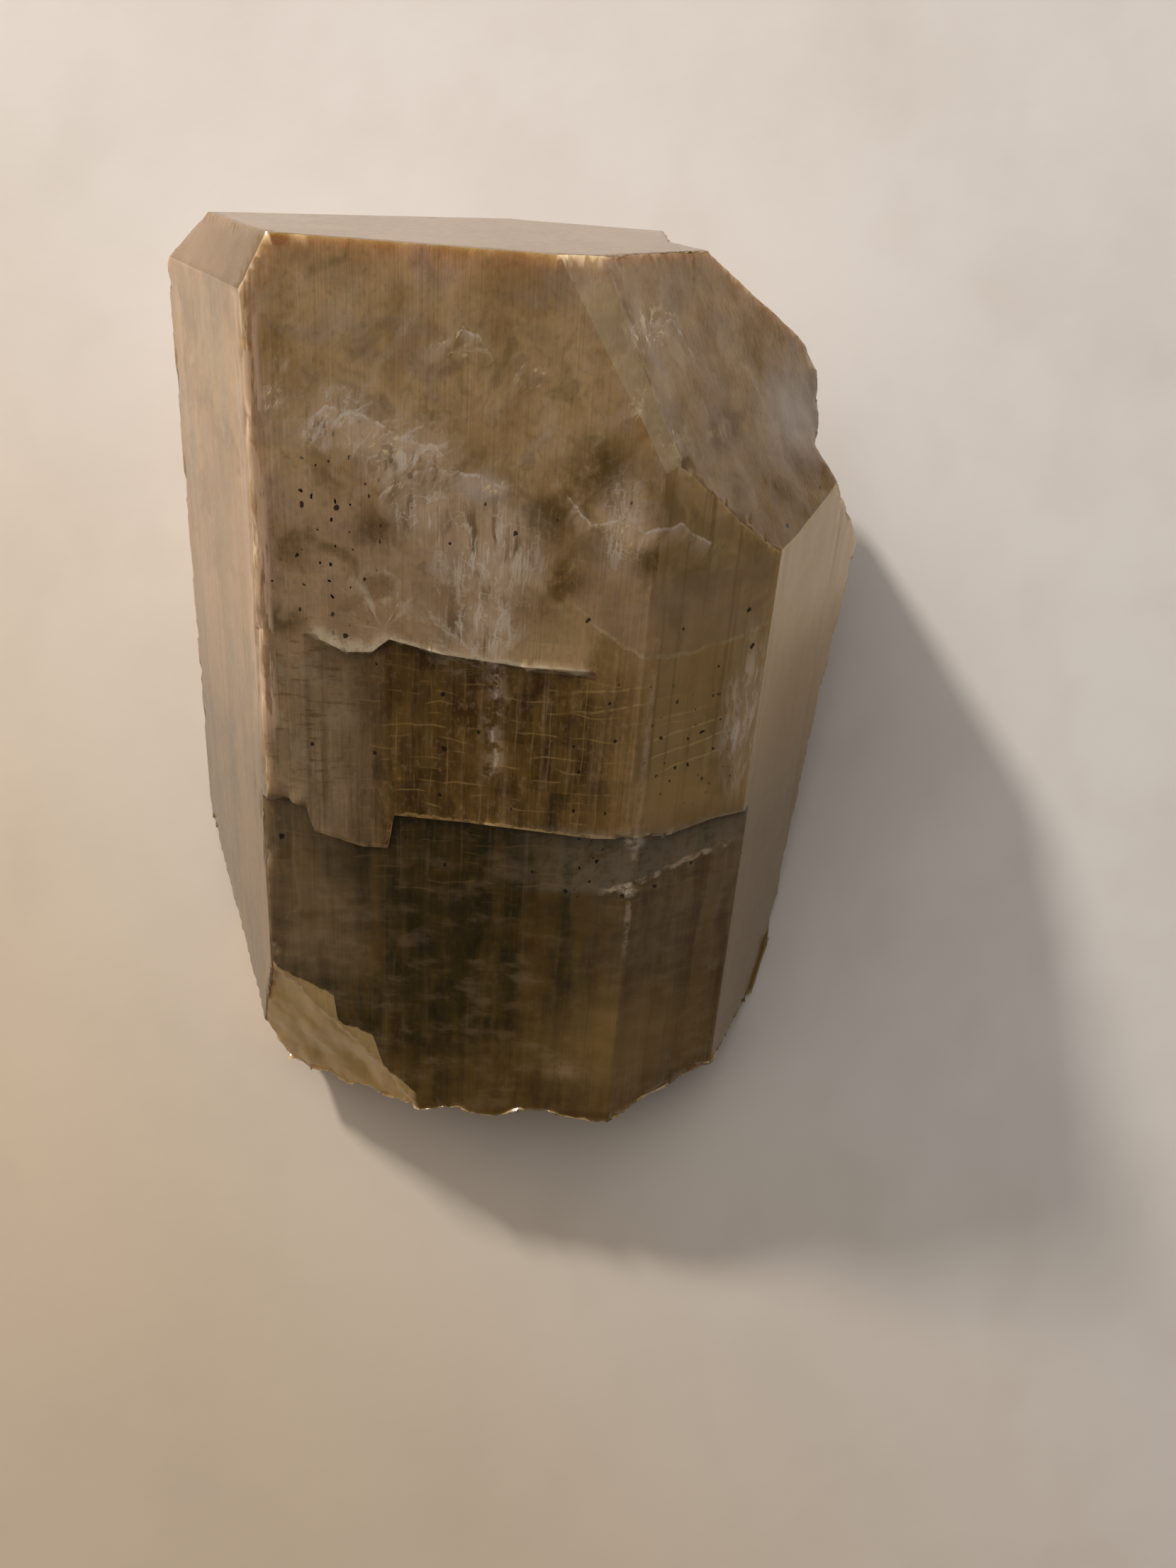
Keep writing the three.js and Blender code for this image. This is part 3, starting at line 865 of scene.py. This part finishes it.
        # Painted shadow under the lip.
        shade = paint.times(paint.band(self.below_upper, 0.1, 0.3, 0.25), across)
        self.cover(NIGHT, 0.2, shade, paint.step(crumbs, 0.35, 0.6))
        # Painted light: the sides of the step are lightened so the step's shade does not show.
        side = paint.times(self.on("ledge"), paint.step(self.y, -6.0, -4.0))
        self.cover(WHITE, 0.85, side, paint.step(self.x, -3.0, -3.6))
        self.cover(CREAM, 0.60, side, paint.step(self.x, -3.6, -3.0))

    def lower_lip(self, crumbs):
        """The amber lip of the lower ledge and the shadow under it."""
        paint = self.paint
        lip = paint.band(self.below_lower, -0.16, 0.0, 0.08)
        self.cover(AMBER, 0.8, lip, paint.step(crumbs, 0.34, 0.52), paint.step(self.x, -8.0, -1.0))
        self.cover(NIGHT, 0.45, paint.band(self.below_lower, 0.05, 0.25, 0.3))

    def flake(self, crumbs):
        """A pale shell-shaped flake mark on the narrow face, with a bright lower border."""
        paint = self.paint
        under = self.below(FLAKE_LINE)
        near = paint.band(self.x, *FLAKE_SPAN)
        self.cover(MAUVE, 0.32, paint.band(under, -3.4, 0.0, 1.2), paint.step(under, 0.2, -0.2), near)
        self.cover(CREAM, 0.35, paint.band(under, -0.07, 0.04, 0.12), near, paint.step(crumbs, 0.35, 0.6))

    def scuff(self, crumbs):
        """A grey film below the lower ledge at the right, with a scuffed white border."""
        paint = self.paint
        under = self.below(SCUFF_LINE)
        there = paint.band(self.x, *SCUFF_SPAN)
        grey = paint.times(paint.band(self.below_lower, 0.0, 3.5, 0.8), paint.step(under, 0.1, -0.1))
        self.cover(GREY_MILK, 0.65, grey, paint.step(self.x, 1.0, 9.0), paint.step(crumbs, 0.25, 0.6))
        self.cover(MILK, 0.7, paint.band(under, -0.25, 0.0, 0.1), paint.step(crumbs, 0.40, 0.62), there)

    def frost_and_highlights(self, crumbs):
        """Frost on the right edge, two painted white highlights, the seam between the faces, and a milky
        blob.
        """
        paint = self.paint
        corner = self.spot(*FROSTED_CORNER)
        frost = paint.step(self.pattern("frost", self.swayed), 0.42, 0.60)
        self.cover(MILK, 0.50, corner)
        self.cover(WHITE, 0.90, corner, frost)
        # Painted highlights: two small white spots.
        highlight_spots = paint.most(*(self.spot(*place) for place in WHITE_HIGHLIGHTS))
        self.cover(WHITE, 0.8, highlight_spots, paint.step(crumbs, 0.36, 0.56))
        patches = self.pattern("patches")
        self.cover(MILK, 0.5, self.block(*SEAM), paint.step(patches, 0.42, 0.60))
        self.cover(HAZE, 0.55, self.spot(*LOW_BLOB), paint.step(crumbs, 0.30, 0.60))

    def inclusions(self):
        """Dark grains, painted glints with a painted glow around them, and the round amber bubble at the
        left with a painted highlight on its rim.
        """
        paint = self.paint
        front = self.on("front", "narrow", "shoulder", "broken")
        left = self.spot(*GRAINS_LEFT)
        low = self.spot(*GRAINS_LOW)
        right = paint.times(self.spot(*GRAINS_RIGHT), 0.7)
        room = paint.times(paint.most(left, low, right), front)
        gently = paint.warp(self.mm, *LOOSE_GRAINS)
        grains = paint.grains(gently, *GRAINS)
        self.cover(SPECK, 1.3, grains, room)
        few = paint.grains(paint.shift(gently, (4, 4, 4)), *FEW_GRAINS)
        self.cover(SPECK, 0.9, few, front, paint.band(self.y, -14.0, 6.0, 3.0))

        rough = paint.warp(self.mm, *ROUGH_RING)
        ring = self.spot(*BUBBLE_RIM, rough)
        hole = self.spot(*BUBBLE_HOLE, rough)
        # Painted highlight: cream on the bubble's rim where it catches the light.
        caught = paint.step(self.pattern("caught"), 0.40, 0.60)
        self.cover(CREAM, 0.55, ring, paint.inverse(hole), caught)
        self.cover(MID, 0.35, hole)

        # Painted glints: bright flecks with a milky painted glow around them, at the GLINTS places.
        glint_flecks = paint.step(self.pattern("glint_flecks", self.slanted), 0.56, 0.64)
        lit = paint.most(*(self.spot(*place, 0.8) for place in GLINTS))
        glow = paint.step(self.pattern("gleam", self.slanted), 0.46, 0.64)
        self.cover(MILK, 0.70, glow, lit)
        self.cover(SPARK, 1.2, glint_flecks, lit, front)

    def faces(self):
        """What is different on the faces around the front, and on the breaks."""
        soft = self.pattern("soft", self.stirred)
        self.side_faces(soft)
        self.end_faces(soft)
        self.breaks()

    def side_faces(self, soft):
        """The side and back faces: greyer and paler, darker down the axis; the right face lightened to pale
        gold with an orange patch, both painted light shining through the crystal.
        """
        paint = self.paint
        streaky = paint.add(paint.times(self.streaks, 0.5), soft)
        side = paint.mix(paint.step(streaky, 0.60, 0.85), SIDE, PALE_SIDE)
        dark = paint.mix(paint.step(self.y, 2.0, -18.0), side, DEEP)
        share = paint.lift(paint.step(self.y, -3.0, -9.0), 0.30, 0.65)
        self.lay(paint.times(self.on("left", "left_back", "back"), share), paint.mix(0.4, side, dark))
        # Painted light: the right face is lightened to pale gold, as light shining through the crystal,
        # darker lower down.
        right = self.on("right")
        lower = paint.lift(paint.step(self.y, 2.0, -14.0), 0.50, 0.22)
        self.cover(paint.mix(lower, RIGHT_SIDE, dark), 0.75, right)
        # Painted glow: orange light shining through the crystal onto the right face.
        self.cover(RIGHT_GLOW, 0.3, right, paint.spot(self.mm, *RIGHT_GLOW_PLACE))

    def end_faces(self, soft):
        """The flat end face, the two facets at its left corner, and the shoulder at its right, lightened
        with cream as painted light against its shading.
        """
        paint = self.paint
        self.cover(END, 0.85, self.on("basal"))
        tip = paint.step(paint.add(self.x, paint.times(soft, 2.0)), -12.5, -8.5)
        self.cover(paint.mix(tip, CORNER, DEEP), 0.85, self.on("corner", "back_facet"))
        self.cover(MAUVE, 0.10, self.on("basal"), paint.step(self.pattern("smear"), 0.45, 0.7))
        # Painted light: cream lightens the shoulder against its shading.
        self.cover(CREAM, 0.40, self.on("shoulder"))

    def breaks(self):
        """The breaks with a painted bluish reflection and a lighter amber rim painted as light shining
        through the thin edge, painted amber glows of light through the crystal, and the chip at the lower
        left.
        """
        paint = self.paint
        broken = self.on("broken")
        self.lay(paint.times(broken, paint.lift(paint.step(self.y, 15.0, 4.0), 0.55, 0.25)), BREAK)
        # Painted reflection: a bluish sheen on the break.
        self.cover(BLUISH, 0.7, broken, paint.spot(self.mm, *BLUISH_REFLECTION))
        # Painted glows of lamp light shining through the crystal onto the front faces.
        glow = paint.most(*(paint.times(self.spot(*place), share) for place, share in GLOWS))
        self.lay(paint.times(glow, self.on("front", "narrow")), AMBER)
        self.cover(GILT, 0.8, broken, self.spot(*CHIP_PLACE))
        jagged = paint.times(paint.step(self.below(CHIP_LINE), 0.0, 0.12), paint.step(self.x, -1.6, -1.9))
        self.cover(GILT, 0.78, jagged, self.on("front"))
        # Painted light: the thin lower rim is lighter amber where light shines through it.
        self.cover(AMBER, 0.5, broken, paint.step(self.y, -26.5, -29.0))

    def finish(self):
        """Paints all the layers in order and sets the shader."""
        for layer in (self.bodies, self.clouds, self.growth_lines, self.narrow_face, self.parting,
                      self.veils, self.edges, self.faces, self.inclusions):
            layer()
        paint = self.paint
        inputs = self.shader.inputs
        paint.feed(inputs["Base Color"], self.colour)
        rough = paint.lift(self.streaks, GLOSS_CHANGE, GLOSS_LEAST)
        paint.feed(inputs["Roughness"], paint.add(rough, paint.times(self.worn, GLOSS_WORN)))
        height = paint.add(self.fine_streaks, self.pattern("pitted"))
        settings = {"Height": height, "Distance": BUMP_HEIGHT, "Strength": BUMP_STRENGTH}
        paint.feed(inputs["Normal"], paint.node("ShaderNodeBump", None, settings).outputs[0])
        inputs["IOR"].default_value = APATITE_IOR
        inputs["Subsurface Weight"].default_value = GLOW_WEIGHT
        inputs["Subsurface Radius"].default_value = GLOW_RADIUS
        inputs["Subsurface Scale"].default_value = GLOW_SCALE


def paper_material():
    """Pale paper with faint blurred mottling, painted warm light toward the left and the front, a painted
    shadow at the front, and painted shade toward the far left.
    """
    material = bpy.data.materials.new("paper")
    material.use_nodes = True
    paint = Painter(material.node_tree)
    place = paint.node("ShaderNodeTexCoord").outputs["Object"]
    x, y, _ = paint.node("ShaderNodeSeparateXYZ", None, {0: place}).outputs
    slant = paint.add(paint.times(x, WARM_SLANT[0]), paint.times(y, WARM_SLANT[1]))
    mottle = paint.noise(place, *PAPER_MOTTLE)
    # Painted warm light toward the left and the front.
    colour = paint.mix(paint.step(slant, *WARM_FROM_TO), PAPER, WARM_LIGHT_PAPER)
    colour = paint.mix(paint.times(paint.step(mottle, *MOTTLE_FROM_TO), MOTTLE_SHARE), colour, STAIN_AND_SHADE)
    blots = paint.noise(place, *PAPER_BLOTS)
    colour = paint.mix(paint.times(paint.step(blots, *BLOTS_FROM_TO), BLOTS_SHARE), colour, STAIN_AND_SHADE)
    # Painted shadow toward the front, then painted shade toward the far left.
    colour = paint.mix(paint.times(paint.step(y, *NEAR_FROM_TO), NEAR_SHARE), colour, STAIN_AND_SHADE)
    far = paint.add(paint.times(x, FAR_SLANT), y)
    colour = paint.mix(paint.times(paint.step(far, *FAR_FROM_TO), FAR_SHARE), colour, STAIN_AND_SHADE)
    shader = material.node_tree.nodes["Principled BSDF"]
    paint.feed(shader.inputs["Base Color"], colour)
    grain = paint.noise(place, *PAPER_GRAIN)
    settings = {"Height": grain, "Distance": GRAIN_HEIGHT, "Strength": GRAIN_STRENGTH}
    paint.feed(shader.inputs["Normal"], paint.node("ShaderNodeBump", None, settings).outputs[0])
    shader.inputs["Roughness"].default_value = PAPER_ROUGHNESS
    return material


def add_crystal():
    crystal = bpy.data.objects.new("crystal", crystal_mesh())
    bpy.context.scene.collection.objects.link(crystal)
    material = bpy.data.materials.new("apatite")
    Apatite(material).finish()
    crystal.data.materials.append(material)
    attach(crystal, "root")
    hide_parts(NODE)


def add_floor():
    bpy.ops.mesh.primitive_plane_add(size=FLOOR_SIZE)
    floor = bpy.context.object
    floor.name = "floor"
    floor.data.materials.append(paper_material())


def add_camera():
    camera = bpy.data.cameras.new("camera")
    camera.sensor_fit = "VERTICAL"
    camera.angle = VIEW_ANGLE
    camera.clip_start = CLIP_START
    turn = Matrix((CAMERA_RIGHT, CAMERA_UP, CAMERA_RIGHT.cross(CAMERA_UP))).transposed()
    placed = bpy.data.objects.new("camera", camera)
    placed.matrix_world = Matrix.Translation(CAMERA_AT) @ turn.to_4x4()
    bpy.context.scene.collection.objects.link(placed)
    bpy.context.scene.camera = placed


def add_lamp():
    lamp = bpy.data.lights.new("lamp", "AREA")
    lamp.shape = "DISK"
    lamp.size = LAMP_SIZE
    lamp.energy = LAMP_WATTS
    placed = bpy.data.objects.new("lamp", lamp)
    placed.location = LAMP_AT
    placed.rotation_euler = (-LAMP_AT).to_track_quat("-Z", "Y").to_euler()
    placed.visible_camera = False
    bpy.context.scene.collection.objects.link(placed)


def add_world():
    """Soft light from one side of the room, and little from the side where the viewer stands."""
    world = bpy.data.worlds.new("room")
    bpy.context.scene.world = world
    world.use_nodes = True
    paint = Painter(world.node_tree)
    direction = paint.node("ShaderNodeTexCoord").outputs["Generated"]
    vectors = {0: direction, 1: ROOM_SIDE}
    toward = paint.node("ShaderNodeVectorMath", {"operation": "DOT_PRODUCT"}, vectors)
    share = paint.step(toward.outputs["Value"], *ROOM_FADE)
    strength = paint.math("ADD", paint.math("MULTIPLY", share, ROOM_BRIGHT - ROOM_DARK), ROOM_DARK)
    background = world.node_tree.nodes["Background"]
    background.inputs["Color"].default_value = (1, 1, 1, 1)
    paint.feed(background.inputs["Strength"], strength)


bpy.context.scene.view_settings.view_transform = "Standard"
add_crystal()
add_floor()
add_camera()
add_lamp()
add_world()
